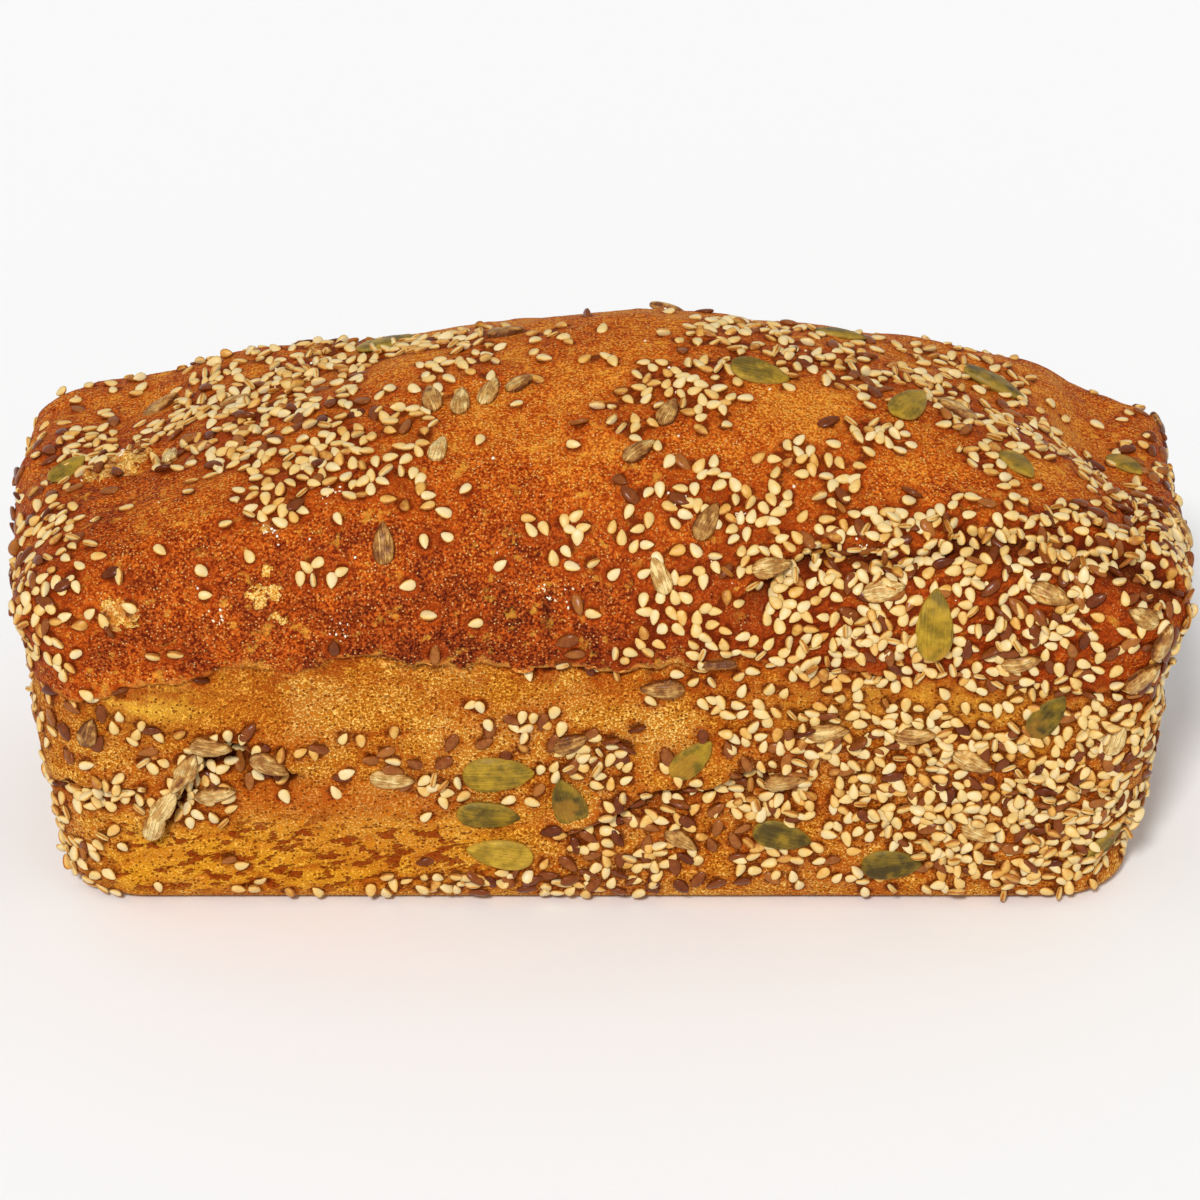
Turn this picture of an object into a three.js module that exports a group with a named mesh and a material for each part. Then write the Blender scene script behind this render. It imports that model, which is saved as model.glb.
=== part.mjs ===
// A seeded tin loaf, in millimetres. The origin is the middle of the flat base,
// +X runs along the loaf, -Y is its front and +Z is up. The loaf is one baked
// solid, and each pumpkin seed and sunflower kernel on its crust is a solid too.

import * as THREE from 'three';
import { mergeVertices } from 'three/addons/utils/BufferGeometryUtils.js';

// The loaf: the tin shapes everything below the rim, and the dough that rises
// over the rim bakes into a dome that stands out a little past the wall.
const RIM_HEIGHT = 62;
const LOAF_HEIGHT = 107;
const OVERHANG_HALF_LENGTH = 123.5;
const OVERHANG_HALF_WIDTH = 54;
const OVERHANG_DEPTH = 2;
const OVERHANG_RISE = 6;
const WALL_SLOPE = THREE.MathUtils.degToRad(8);
const BASE_EDGE_RADIUS = 9;
const UPRIGHT_CORNER_RADIUS = 15;
const DOME_FULLNESS = 2.25;
const CORNER_FADE = 3;
// Near the crown a corner radius takes up at most this share of the half width.
const MOST_CORNER = 0.9;

// How finely the loaf is faceted.
const STEPS_AROUND = 96;
const DOME_STEPS = 12;
const EDGE_STEPS = 3;
const MEETING_DISTANCE = 1e-4;

// Places where the dough rose more or less than the plain dome, as a centre,
// a reach and a rise upwards.
const SWELLS = [
  { x: -94, y: 4, reach: 38, rise: -8 },
  { x: 22, y: 4, reach: 40, rise: 2 },
  { x: 108, y: 8, reach: 32, rise: -9 },
];

// A whole hulled pumpkin seed and a hulled sunflower kernel, at size 1.
const PUMPKIN_SEED = { length: 15, width: 7.8, thickness: 2.4, tip: 0.32 };
const SUNFLOWER_KERNEL = { length: 9, width: 4.4, thickness: 2.2, tip: 0.42 };
const SEED_STEPS_AROUND = 8;
const SEED_STEPS_ALONG = 6;
const SEED_GAP = 0.35;

// Where the seeds lie. Each row is two distances across that side of the loaf,
// the turn of the seed's point in degrees, and its size.
// Front and back: along X, up Z. Crown: along X, along Y. Ends: along Y, up Z.
const PUMPKIN_SEEDS = {
  front: [
    [68, 73, 88, 1],
    [-21, 35, 4, 1],
    [-6.5, 27.5, 104, 0.95],
    [-23, 24.5, -14, 0.95],
    [-21, 14.5, 172, 0.95],
    [19, 39, 48, 0.8],
    [38, 19, -16, 0.85],
    [92, 50, 55, 0.8],
    [61, 11.5, 2, 0.85],
    [107, 14, 38, 0.7],
  ],
  crown: [
    [-112, -1, 47, 0.7],
    [33, -8, -8, 0.85],
    [51, 22, 4, 0.75],
    [84, 19, -12, 1],
    [64, -11, 62, 0.9],
    [86, -23, -62, 0.75],
    [112, 12, -52, 0.7],
    [-46, 26, 28, 0.9],
  ],
  back: [
    [-70, 38, 20, 0.95],
    [-14, 72, 82, 0.9],
    [31, 26, -12, 1],
    [86, 54, 64, 0.85],
  ],
  leftEnd: [[14, 34, 50, 0.85]],
  rightEnd: [[20, 44, -32, 0.85]],
};

const SUNFLOWER_KERNELS = {
  front: [
    [-44, 88, 92, 1],
    [22, 92, 62, 1],
    [12, 83, 112, 0.95],
    [36, 83, 12, 0.95],
    [24, 64, 24, 0.9],
    [86, 64, 14, 0.95],
    [110, 74, 150, 0.9],
    [-105, 46, 74, 0.9],
    [-43, 34, -4, 1.05],
    [-6, 43, 26, 0.9],
    [17, 18, -34, 0.9],
    [47, 46, 8, 1],
    [65, 45, 2, 1],
    [77, 38.5, -24, 1],
    [79, 20, -24, 0.9],
    [106, 44, 66, 0.9],
  ],
  crown: [
    [-35, -12, 98, 0.95],
    [-29, -14.5, 84, 0.95],
    [-23, -12.5, 66, 0.9],
    [-16.5, -10, 38, 0.85],
    [-20, 16, 18, 0.9],
    [-33, -29, 74, 0.85],
    [14, -22, 68, 0.9],
    [8, -32, 38, 0.9],
    [-90, -9, 80, 0.8],
    [-77, 10, 22, 0.8],
    [74, -4, 8, 0.9],
  ],
  back: [
    [-38, 60, 36, 0.95],
    [8, 42, -20, 1],
    [62, 84, 74, 0.9],
    [-92, 66, 130, 0.9],
  ],
  leftEnd: [[-18, 58, 20, 0.9]],
  rightEnd: [[-14, 74, 70, 0.9]],
};

// Which way each side of the loaf is met, and which way its X-like direction runs.
const FAR = 300;
const SIDES = {
  front: { from: (a, b) => [a, -FAR, b], towards: [0, 1, 0], along: [1, 0, 0] },
  back: { from: (a, b) => [a, FAR, b], towards: [0, -1, 0], along: [-1, 0, 0] },
  crown: { from: (a, b) => [a, b, FAR], towards: [0, 0, -1], along: [1, 0, 0] },
  leftEnd: { from: (a, b) => [-FAR, a, b], towards: [1, 0, 0], along: [0, -1, 0] },
  rightEnd: { from: (a, b) => [FAR, a, b], towards: [-1, 0, 0], along: [0, 1, 0] },
};

const crust = new THREE.MeshStandardMaterial({ color: 0xb8672c, roughness: 0.7, metalness: 0 });
const seedGreen = new THREE.MeshStandardMaterial({ color: 0x66682f, roughness: 0.5, metalness: 0 });
const kernelGrey = new THREE.MeshStandardMaterial({ color: 0xa28a62, roughness: 0.6, metalness: 0 });

// How far the wall stands in from the overhang at a height below the dome.
function wallInset(height) {
  const underLip = THREE.MathUtils.clamp((RIM_HEIGHT + OVERHANG_RISE - height) / OVERHANG_RISE, 0, 1);
  const belowRim = Math.max(RIM_HEIGHT - height, 0);
  return OVERHANG_DEPTH * underLip + belowRim * Math.tan(WALL_SLOPE);
}

// The loaf's upright profile from the crown down to the middle of the base. Each
// level has its height, its inset from the overhang and its share of full size.
function loafLevels() {
  const domeBase = RIM_HEIGHT + OVERHANG_RISE;
  const domeRise = LOAF_HEIGHT - domeBase;
  const levels = [];
  for (let step = 0; step <= DOME_STEPS; step += 1) {
    const angle = (step / DOME_STEPS) * (Math.PI / 2);
    const spread = Math.sin(angle) ** (2 / DOME_FULLNESS);
    const lift = Math.max(Math.cos(angle), 0) ** (2 / DOME_FULLNESS);
    levels.push({ height: domeBase + domeRise * lift, inset: 0, share: spread });
  }
  levels.push({ height: RIM_HEIGHT, inset: wallInset(RIM_HEIGHT), share: 1 });
  const midWall = (RIM_HEIGHT + BASE_EDGE_RADIUS) / 2;
  levels.push({ height: midWall, inset: wallInset(midWall), share: 1 });
  for (let step = 0; step <= EDGE_STEPS; step += 1) {
    const angle = (step / EDGE_STEPS) * (Math.PI / 2);
    const height = BASE_EDGE_RADIUS * (1 - Math.sin(angle));
    const inset = wallInset(BASE_EDGE_RADIUS) + BASE_EDGE_RADIUS * (1 - Math.cos(angle));
    levels.push({ height: Math.max(height, 0), inset, share: 1 });
  }
  levels.push({ height: 0, inset: 0, share: 0 });
  return levels;
}

// A point of the outline at one level: a rectangle with round corners by the
// tin, which fades to an oval towards the crown.
function outlinePoint(direction, level) {
  const halfLength = (OVERHANG_HALF_LENGTH - level.inset) * level.share;
  const halfWidth = (OVERHANG_HALF_WIDTH - level.inset) * level.share;
  const oval = new THREE.Vector2(halfLength * direction.x, halfWidth * direction.y);
  const reach = Math.max(Math.abs(direction.x), Math.abs(direction.y));
  const square = oval.clone().divideScalar(reach);
  const radius = Math.min(UPRIGHT_CORNER_RADIUS, halfWidth * MOST_CORNER);
  const core = new THREE.Vector2(
    THREE.MathUtils.clamp(square.x, radius - halfLength, halfLength - radius),
    THREE.MathUtils.clamp(square.y, radius - halfWidth, halfWidth - radius),
  );
  const rounded = square.sub(core).setLength(radius).add(core);
  return oval.lerp(rounded, level.share ** CORNER_FADE);
}

// The rise or fall that the swells give a point of the crown.
function swellAt(x, y, height) {
  let rise = 0;
  for (const swell of SWELLS) {
    const distance = Math.hypot(x - swell.x, y - swell.y) / swell.reach;
    rise += swell.rise * Math.exp(-distance * distance);
  }
  return rise * THREE.MathUtils.smoothstep(height, RIM_HEIGHT, LOAF_HEIGHT);
}

// Puts a closed shape's vertices together where they meet, for a sealed solid.
function sealed(geometry) {
  geometry.deleteAttribute('normal');
  geometry.deleteAttribute('uv');
  const solid = mergeVertices(geometry, MEETING_DISTANCE);
  const corners = solid.index.array;
  const kept = [];
  for (let i = 0; i < corners.length; i += 3) {
    const [a, b, c] = [corners[i], corners[i + 1], corners[i + 2]];
    if (a !== b && b !== c && c !== a) {
      kept.push(a, b, c);
    }
  }
  solid.setIndex(kept);
  solid.computeVertexNormals();
  return solid;
}

// The loaf is turned as a round body first, and each ring is then drawn out to
// the loaf's own outline at that level.
function loafGeometry() {
  const levels = loafLevels();
  const profile = levels.map((level) => new THREE.Vector2(level.share, level.height)).reverse();
  const geometry = new THREE.LatheGeometry(profile, STEPS_AROUND);
  geometry.rotateX(Math.PI / 2);
  const points = geometry.attributes.position;
  const upwards = [...levels].reverse();
  for (let i = 0; i < points.count; i += 1) {
    const level = upwards[i % upwards.length];
    const turn = (Math.floor(i / upwards.length) / STEPS_AROUND) * Math.PI * 2;
    const direction = new THREE.Vector2(Math.cos(turn), Math.sin(turn));
    const place = level.share > 0 ? outlinePoint(direction, level) : new THREE.Vector2();
    points.setXYZ(i, place.x, place.y, level.height + swellAt(place.x, place.y, level.height));
  }
  return sealed(geometry);
}

// A seed lies on its flat side, with its point along +X.
function seedGeometry(seed) {
  const geometry = new THREE.SphereGeometry(1, SEED_STEPS_AROUND, SEED_STEPS_ALONG);
  geometry.rotateZ(-Math.PI / 2);
  const points = geometry.attributes.position;
  for (let i = 0; i < points.count; i += 1) {
    const along = points.getX(i);
    const taper = 1 - seed.tip * along;
    const across = points.getY(i) * taper * (seed.width / 2);
    const up = Math.max(points.getZ(i), 0) * seed.thickness;
    points.setXYZ(i, along * (seed.length / 2), across, up);
  }
  return sealed(geometry);
}

const loaf = new THREE.Mesh(loafGeometry(), crust);
loaf.name = 'loaf';
loaf.updateMatrixWorld();

// Lays one seed on the crust where a line across that side meets it, flat on
// the crust, with a small gap under it.
function layOnCrust(material, name, shape, side, [first, second, turn, size]) {
  const { from, towards, along } = SIDES[side];
  const ray = new THREE.Raycaster(new THREE.Vector3(...from(first, second)), new THREE.Vector3(...towards));
  const [contact] = ray.intersectObject(loaf);
  const outwards = contact.face.normal;
  const heading = new THREE.Vector3(...along).projectOnPlane(outwards).normalize();
  const point = heading.applyAxisAngle(outwards, THREE.MathUtils.degToRad(turn));
  const across = outwards.clone().cross(point);
  const mesh = new THREE.Mesh(shape, material);
  mesh.name = name;
  mesh.matrixAutoUpdate = false;
  mesh.matrix.makeBasis(point, across, outwards);
  mesh.matrix.scale(new THREE.Vector3(size, size, size));
  mesh.matrix.setPosition(contact.point.clone().addScaledVector(outwards, SEED_GAP));
  return mesh;
}

// Lays every seed of one kind and numbers them in order.
function scatter(group, kind, material, shape, places) {
  let number = 1;
  for (const [side, rows] of Object.entries(places)) {
    for (const row of rows) {
      const name = `${kind}_${String(number).padStart(2, '0')}`;
      group.add(layOnCrust(material, name, shape, side, row));
      number += 1;
    }
  }
}

const tinLoaf = new THREE.Group();
tinLoaf.add(loaf);
scatter(tinLoaf, 'pumpkin_seed', seedGreen, seedGeometry(PUMPKIN_SEED), PUMPKIN_SEEDS);
scatter(tinLoaf, 'sunflower_kernel', kernelGrey, seedGeometry(SUNFLOWER_KERNEL), SUNFLOWER_KERNELS);

export default tinLoaf;
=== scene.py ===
"""A seeded tin loaf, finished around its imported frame: the baked crust, the pumpkin
seeds and sunflower kernels that the frame places, and the sesame seeds, linseeds and
crumbs strewn over it. Metres, +X along the loaf, -Y its front, +Z up."""

import itertools
import math

import bmesh
import bpy
import numpy as np
from mathutils import Matrix, Vector, noise
from mathutils.bvhtree import BVHTree
from mathutils.kdtree import KDTree


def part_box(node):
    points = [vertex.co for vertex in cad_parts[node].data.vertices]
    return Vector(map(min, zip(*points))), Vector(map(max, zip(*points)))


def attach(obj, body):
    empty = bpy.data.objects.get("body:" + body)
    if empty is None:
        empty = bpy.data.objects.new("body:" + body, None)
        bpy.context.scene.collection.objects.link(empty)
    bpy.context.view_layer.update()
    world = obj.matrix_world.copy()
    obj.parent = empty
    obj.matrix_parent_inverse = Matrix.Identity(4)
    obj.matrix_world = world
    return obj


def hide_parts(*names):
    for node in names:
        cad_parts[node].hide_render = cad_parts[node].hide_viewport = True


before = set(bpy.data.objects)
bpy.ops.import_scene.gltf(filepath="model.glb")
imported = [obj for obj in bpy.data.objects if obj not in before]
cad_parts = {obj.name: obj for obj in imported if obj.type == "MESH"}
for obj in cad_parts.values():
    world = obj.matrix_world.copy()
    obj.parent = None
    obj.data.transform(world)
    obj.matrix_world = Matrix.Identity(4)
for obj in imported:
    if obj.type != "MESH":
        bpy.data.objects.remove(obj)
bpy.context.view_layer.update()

# The crust: one loaf of dough, baked in a sloping tin. The tin gives it a flat
# base and smooth golden walls; above the rim it rose into a dome, browned, and
# tore along the rim. It is shaped here as the frame's loaf is, then given relief.
MM = 0.001
RIM_HEIGHT = 62.0
OVERHANG_DEPTH = 1.2
OVERHANG_RISE = 6.0
WALL_SLOPE = math.radians(8)
BASE_EDGE_RADIUS = 9.0
UPRIGHT_CORNER_RADIUS = 15.0
MOST_CORNER = 0.9
DOME_FULLNESS = 2.25
CORNER_FADE = 3.0
LOAF_HEIGHT = 107.0
SWELLS = ((-94, 4, 38, -8.0), (22, 4, 40, 2.0), (108, 8, 32, -9.0))
CELLS_LONG, CELLS_WIDE, CELLS_TALL = 248, 112, 96
# The share of the wall's rows and of its height that go to the torn rim.
RIM_ROWS, RIM_SHARE = 0.34, 0.19
SAME_PLACE = 1e-4
# The frame's box takes in the seeds, so the crust itself lies a little inside it.
SEED_COVER = 0.8

loaf_low, loaf_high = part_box("loaf")
HALF_LENGTH = (loaf_high.x - loaf_low.x) / 2 / MM
HALF_WIDTH = (loaf_high.y - loaf_low.y) / 2 / MM


def ramp(value, start, end):
    """0 up to start, 1 from end on, and a soft S between them."""
    t = np.clip((value - start) / (end - start), 0.0, 1.0)
    return t * t * (3.0 - 2.0 * t)


def hill(distance, reach):
    """1 in the middle, falling softly to nothing past the reach."""
    return np.exp(-((distance / reach) ** 2))


def grain_of(points, size, seed):
    """Smooth noise from -1 to 1 at each point, in lumps of about the given size in mm."""
    scaled = points / np.array(size, dtype=float) + seed * 17.31
    return np.fromiter((noise.noise(Vector(p)) for p in scaled), float, len(scaled))


def wall_inset(height):
    """How far the wall stands in from the widest line of the dome."""
    under_lip = np.clip((RIM_HEIGHT + OVERHANG_RISE - height) / OVERHANG_RISE, 0, 1)
    return OVERHANG_DEPTH * under_lip + np.maximum(RIM_HEIGHT - height, 0) * math.tan(WALL_SLOPE)


def loaf_shape(cube):
    """Carries points of a cube from -1 to 1 onto the plain shape of the loaf, in mm."""
    x, y, z = cube.T
    ring = np.maximum(np.maximum(np.abs(x), np.abs(y)), 1e-6)
    square = np.stack([x, y], 1) / ring[:, None]
    circle = square / np.maximum(np.linalg.norm(square, axis=1), 1e-9)[:, None]
    dome_base = RIM_HEIGHT + OVERHANG_RISE
    on_top = z > 1 - SAME_PLACE
    angle = ring * math.pi / 2
    spread = np.sin(angle) ** (2 / DOME_FULLNESS)
    lift = np.clip(np.cos(angle), 0, 1) ** (2 / DOME_FULLNESS)
    straight = dome_base - BASE_EDGE_RADIUS
    whole_way = straight + BASE_EDGE_RADIUS * math.pi / 2
    travel = np.interp((1 - z) / 2, (0, RIM_ROWS, 1), (0, RIM_SHARE * whole_way, whole_way))
    turned = np.clip((travel - straight) / BASE_EDGE_RADIUS, 0, math.pi / 2)
    edge_height = BASE_EDGE_RADIUS * (1 - np.sin(turned))
    edge_inset = wall_inset(BASE_EDGE_RADIUS) + BASE_EDGE_RADIUS * (1 - np.cos(turned))
    wall_height = np.where(travel < straight, dome_base - travel, edge_height)
    wall_in = np.where(travel < straight, wall_inset(wall_height), edge_inset)
    height = np.where(on_top, dome_base + (LOAF_HEIGHT - dome_base) * lift, wall_height)
    inset = np.where(on_top, 0.0, wall_in)
    share = np.where(on_top, spread, 1.0)
    half = np.stack([(HALF_LENGTH - inset) * share, (HALF_WIDTH - inset) * share], 1)
    radius = np.minimum(UPRIGHT_CORNER_RADIUS, half[:, 1] * MOST_CORNER)[:, None]
    corner = half * square
    core = np.clip(corner, radius - half, half - radius)
    away = corner - core
    rounded = core + radius * away / np.maximum(np.linalg.norm(away, axis=1), 1e-9)[:, None]
    fade = (share**CORNER_FADE)[:, None]
    flat = rounded * fade + half * circle * (1 - fade)
    for at_x, at_y, reach, rise in SWELLS:
        distance = np.hypot(flat[:, 0] - at_x, flat[:, 1] - at_y)
        height = height + rise * hill(distance, reach) * ramp(height, RIM_HEIGHT, LOAF_HEIGHT)
    return np.column_stack([flat, height])


# Where the dough tore along the rim: its height at places along the front and the back.
RIM_PLACES = (-120, -100, -73, -55, -31, -10, 4, 33, 47, 74, 98, 120)
FRONT_RIM = (52, 57, 61, 64, 63, 64, 61.5, 63, 62, 60, 56, 54)
BACK_RIM = (56, 58, 61, 60, 58.5, 60, 63, 63, 62, 60, 58, 56)
# Folds where dough laps over dough: a line along the front, the rise of the upper
# lip and the depth of the hollow under it. They are the pocket by the left corner,
# a small ledge beside it, the fold in the middle of the wall and the shoulder's.
FOLDS = (
    (((-96, 17), (-91, 26), (-87, 34), (-83, 41), (-78, 43), (-70, 39), (-60, 33)), 1.7, 5.0),
    (((-116, 28), (-104, 31.5), (-94, 30)), 0.7, 1.2),
    (((-10, 18), (4, 25), (13, 31), (22, 32), (32, 35), (46, 31)), 1.2, 1.8),
    (
        ((24, 76), (31, 79), (39, 86), (47, 88), (61, 86), (73, 90), (98, 87), (112, 83), (123, 71)),
        1.8, 2.3,
    ),
)
# Scabs where the skin flaked off the upper crust and pale crumb shows: middle,
# reach, and how much of the skin is gone.
SCABS = (
    ((-102, -4, 88), 9.0, 1.0),
    ((-98, -53, 75), 4.0, 1.0),
    ((-67, -43, 89), 3.0, 1.0),
    ((-67, -50, 82), 2.4, 1.0),
    ((-67, -51, 79), 3.2, 1.0),
    ((-65, -52, 74), 2.2, 1.0),
    ((-64, -38, 93), 3.0, 0.9),
    ((-60, 30, 96), 5.0, 0.7),
    ((40, 50, 78), 3.5, 0.8),
    ((118, 14, 74), 3.0, 0.7),
)
# Where the dough swelled or sank on its own: middle, reach each way, and rise.
BULGES = (
    ((-94, -52, 51), (11, 16, 8), 2.4),
    ((-120, 12, 72), (10, 26, 10), 2.8),
    ((-118, -38, 60), (10, 16, 12), -3.6),
    ((-101, 24, 92), (13, 45, 15), -4.8),
    ((-58, 20, 103), (20, 30, 12), -2.8),
    ((12, 16, 109), (16, 30, 12), 2.6),
    ((110, 24, 88), (12, 45, 14), -7.0),
    ((121, -4, 70), (9, 20, 10), 1.4),
    ((118, -38, 58), (12, 12, 12), -3.6),
    ((118, -10, 30), (10, 42, 24), -1.6),
    ((112, -46, 6), (13, 16, 14), -4.6),
)
# Paler golden patches on the crown: along, across, the reach each way, and amount.
GOLD_PATCHES = (
    (45, -19, 12, 12, 1.0), (93, -26, 12, 9, 0.8), (-60, 10, 26, 16, 0.7), (102, 18, 16, 22, 0.6),
)
# Yellow patches high on the front wall: along, up, the reach each way, and amount.
YELLOW_PATCHES = ((68, 53, 24, 6, 1.0), (-92, 54, 11, 6, 0.9), (90, 40, 7, 4, 0.8))
# How steeply the wrinkles low on the front climb to the right.
WRINKLE_RISE = 0.22


def rim_line(points):
    """Height of the torn rim at each point."""
    front = np.interp(points[:, 0], RIM_PLACES, FRONT_RIM)
    back = np.interp(points[:, 0], RIM_PLACES, BACK_RIM)
    across = np.clip(points[:, 1] / HALF_WIDTH / 2 + 0.5, 0, 1)
    return front * (1 - across) + back * across


def beside_line(x, z, line):
    """Distance above a bent line drawn on the front, below it negative, and the share of its way."""
    corners = np.array(line, dtype=float)
    runs = np.diff(corners, axis=0)
    lengths = np.linalg.norm(runs, axis=1)
    begun = np.concatenate([[0.0], np.cumsum(lengths)[:-1]])
    nearest = np.full(len(x), np.inf)
    above, share = np.zeros(len(x)), np.zeros(len(x))
    for (from_x, from_z), (run_x, run_z), length, start in zip(corners, runs, lengths, begun):
        off_x, off_z = x - from_x, z - from_z
        t = np.clip((off_x * run_x + off_z * run_z) / length**2, 0, 1)
        distance = np.hypot(off_x - t * run_x, off_z - t * run_z)
        side = np.sign(run_x * off_z - run_z * off_x)
        closer = distance < nearest
        nearest = np.where(closer, distance, nearest)
        above = np.where(closer, side * distance, above)
        share = np.where(closer, (start + t * length) / lengths.sum(), share)
    return above, share


def torn_rim(points, lumps, upright):
    """Height over the torn rim, the upper side's mask, how boldly it tore, and its relief."""
    x, y, z = points.T
    ragged = 3.4 * grain_of(points, (15, 15, 40), 5) + 1.5 * grain_of(points, (4.4, 4.4, 12), 6)
    over_rim = z - rim_line(points) - ragged
    upper = ramp(over_rim, -0.4, 0.4)
    torn = 0.25 + 0.75 * ramp(x, -66, -50) * (1 - ramp(x, 2, 16))
    torn = torn * (0.8 + 0.9 * grain_of(points, (16, 16, 60), 7))
    boldness = np.clip(np.where(y > 0, 0.6 + 0.6 * lumps, torn), 0.05, 1.2) * upright
    lip = upper * 1.1 * np.exp(-np.maximum(over_rim, 0) / 3.0)
    groove = 1.2 * hill(over_rim + 0.8, 0.8)
    relief = (lip - groove) * boldness + 0.8 * upper * hill(over_rim, 16) * upright
    return over_rim, upper, boldness, relief


def lapped_folds(points, roughness):
    """The relief of the folds, how deep in a hollow each point is, as painted shade, and how far it is
    lapped.
    """
    x, y, z = points.T
    relief, pit, lapped = np.zeros((3, len(points)))
    for line, rise, depth in FOLDS:
        above, share = beside_line(x, z, line)
        above = above + roughness
        present = ramp(share, 0.0, 0.12) * (1 - ramp(share, 0.88, 1.0)) * ramp(-y, 2, 12)
        upper_side = ramp(above, -0.5, 0.5)
        hollow = (1 - upper_side) * hill(above + 1.0, 2.8)
        relief += present * (rise * upper_side * hill(above - 1.2, 4.0) - depth * hollow)
        pit = np.maximum(pit, present * hollow * min(depth / 2.5, 1))
        lapped = np.maximum(lapped, present * (1 - upper_side) * hill(above + 1.5, 4.5))
    return relief, pit, lapped


def wall_wrinkles(points, front):
    """Where the wall wrinkled low on the front, and how deep in a crease each point is."""
    x, y, z = points.T
    along_them = np.column_stack([x, y, z - WRINKLE_RISE * x])
    streaks = grain_of(along_them, (11, 22, 3.0), 8) + 0.35 * grain_of(along_them, (4, 6, 1.4), 9)
    lengthwise = ramp(x, -112, -98) * (1 - ramp(x, -34, -8))
    wrinkled = front * lengthwise * ramp(z, 1, 5) * (1 - ramp(z, 19, 29))
    return wrinkled, ramp(streaks, 0.25, 0.6) * wrinkled


def flaked_off(points, roughness):
    """How much of the skin is gone at each point."""
    scab = np.zeros(len(points))
    for middle, reach, amount in SCABS:
        inside = reach - np.linalg.norm(points - np.array(middle), axis=1)
        scab = np.maximum(scab, amount * ramp(inside + roughness, -0.6, 2.4))
    return scab


def patches(first, second, places):
    """Soft patches by their middle and reach along two directions, and their amount."""
    return [
        amount * hill(first - middle_1, reach_1) * hill(second - middle_2, reach_2)
        for middle_1, middle_2, reach_1, reach_2, amount in places
    ]


def crust_maps(points, normals):
    """The relief of the crust in mm, and the masks that colour it."""
    x, y, z = points.T
    front = ramp(-normals[:, 1], 0.2, 0.7)
    upright = 1 - ramp(np.abs(normals[:, 2]), 0.5, 0.9)
    above_base = ramp(z, 0.2, 5.0)
    dome = ramp(z, RIM_HEIGHT - 4, RIM_HEIGHT + 14)
    lumps = grain_of(points, (34, 26, 30), 1)
    knobs = grain_of(points, (11, 10, 9), 2)
    pimples = grain_of(points, (4.2, 4.2, 3.4), 3)
    tiny = grain_of(points, (1.9, 1.9, 1.7), 4)
    over_rim, upper, boldness, relief = torn_rim(points, lumps, upright)
    folds, pit, lapped = lapped_folds(points, 2.0 * knobs + pimples)
    wrinkled, crease = wall_wrinkles(points, front)
    flow = hill(grain_of(points, (40, 40, 7), 10), 0.07) * upright * (1 - dome) * above_base
    short_crack = hill(x + 10.5 - 0.6 * knobs, 0.8) * ramp(-y, 20, 30) * hill(z - 75, 5)
    scab = flaked_off(points, 2.4 * knobs + 1.6 * pimples + tiny)

    relief += dome * (1.3 * lumps + 0.8 * knobs + 0.26 * pimples + 0.10 * tiny)
    relief += (1 - dome) * (0.5 * lumps + 0.35 * knobs + 0.12 * pimples + 0.06 * tiny)
    relief -= SEED_COVER * (1 + np.abs(normals[:, 0]))
    for middle, reach, rise in BULGES:
        near = ((points - np.array(middle)) / np.array(reach)) ** 2
        relief += rise * np.exp(-near.sum(axis=1))
    relief += folds - 0.8 * crease - 0.35 * flow - 0.8 * short_crack
    relief += scab * (0.9 + 1.6 * pimples + 0.9 * tiny)
    relief *= above_base

    near_rim = upper * np.exp(-np.maximum(over_rim, 0) / 20.0)
    middle_of_front = hill(x + 16, 46) * ramp(-y, 20, 34)
    # Paler patches on the crown, and the whole back of the crown made paler, partly as painted light.
    paler_and_lit = dome * (sum(patches(x, y, GOLD_PATCHES)) + 0.45 * ramp(y, 0, 24))
    bake = 0.53 - 0.27 * ramp(z, 80, 106) + 0.12 * near_rim + 0.50 * near_rim * middle_of_front
    bake += 0.12 * lumps + 0.14 * knobs - 0.50 * paler_and_lit + 0.4 * short_crack
    yellow = front * (1 - upper) * np.max(patches(x, z, YELLOW_PATCHES), axis=0)
    blushes = 0.45 * ramp(grain_of(points, (24, 24, 9), 12), 0.10, 0.42)
    over_wrinkles = 0.75 * front * hill(x + 58, 26) * hill(z - 26, 6.5)
    red = np.max([0.85 * crease, 0.5 * flow, 0.7 * lapped, blushes, over_wrinkles], axis=0)
    return relief, {
        "bake": np.clip(bake, 0, 1),
        "over_rim": np.clip(over_rim, -20, 20),
        "bold": np.clip(boldness, 0, 1),
        "yellow": np.clip(yellow, 0, 1),
        "red": np.clip(red, 0, 1),
        "wrinkled": wrinkled,
        "scab": scab,
        # Painted shade in the hollows under the folds and in the short crack.
        "pit": np.clip(pit + 0.6 * short_crack, 0, 1),
    }


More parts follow.
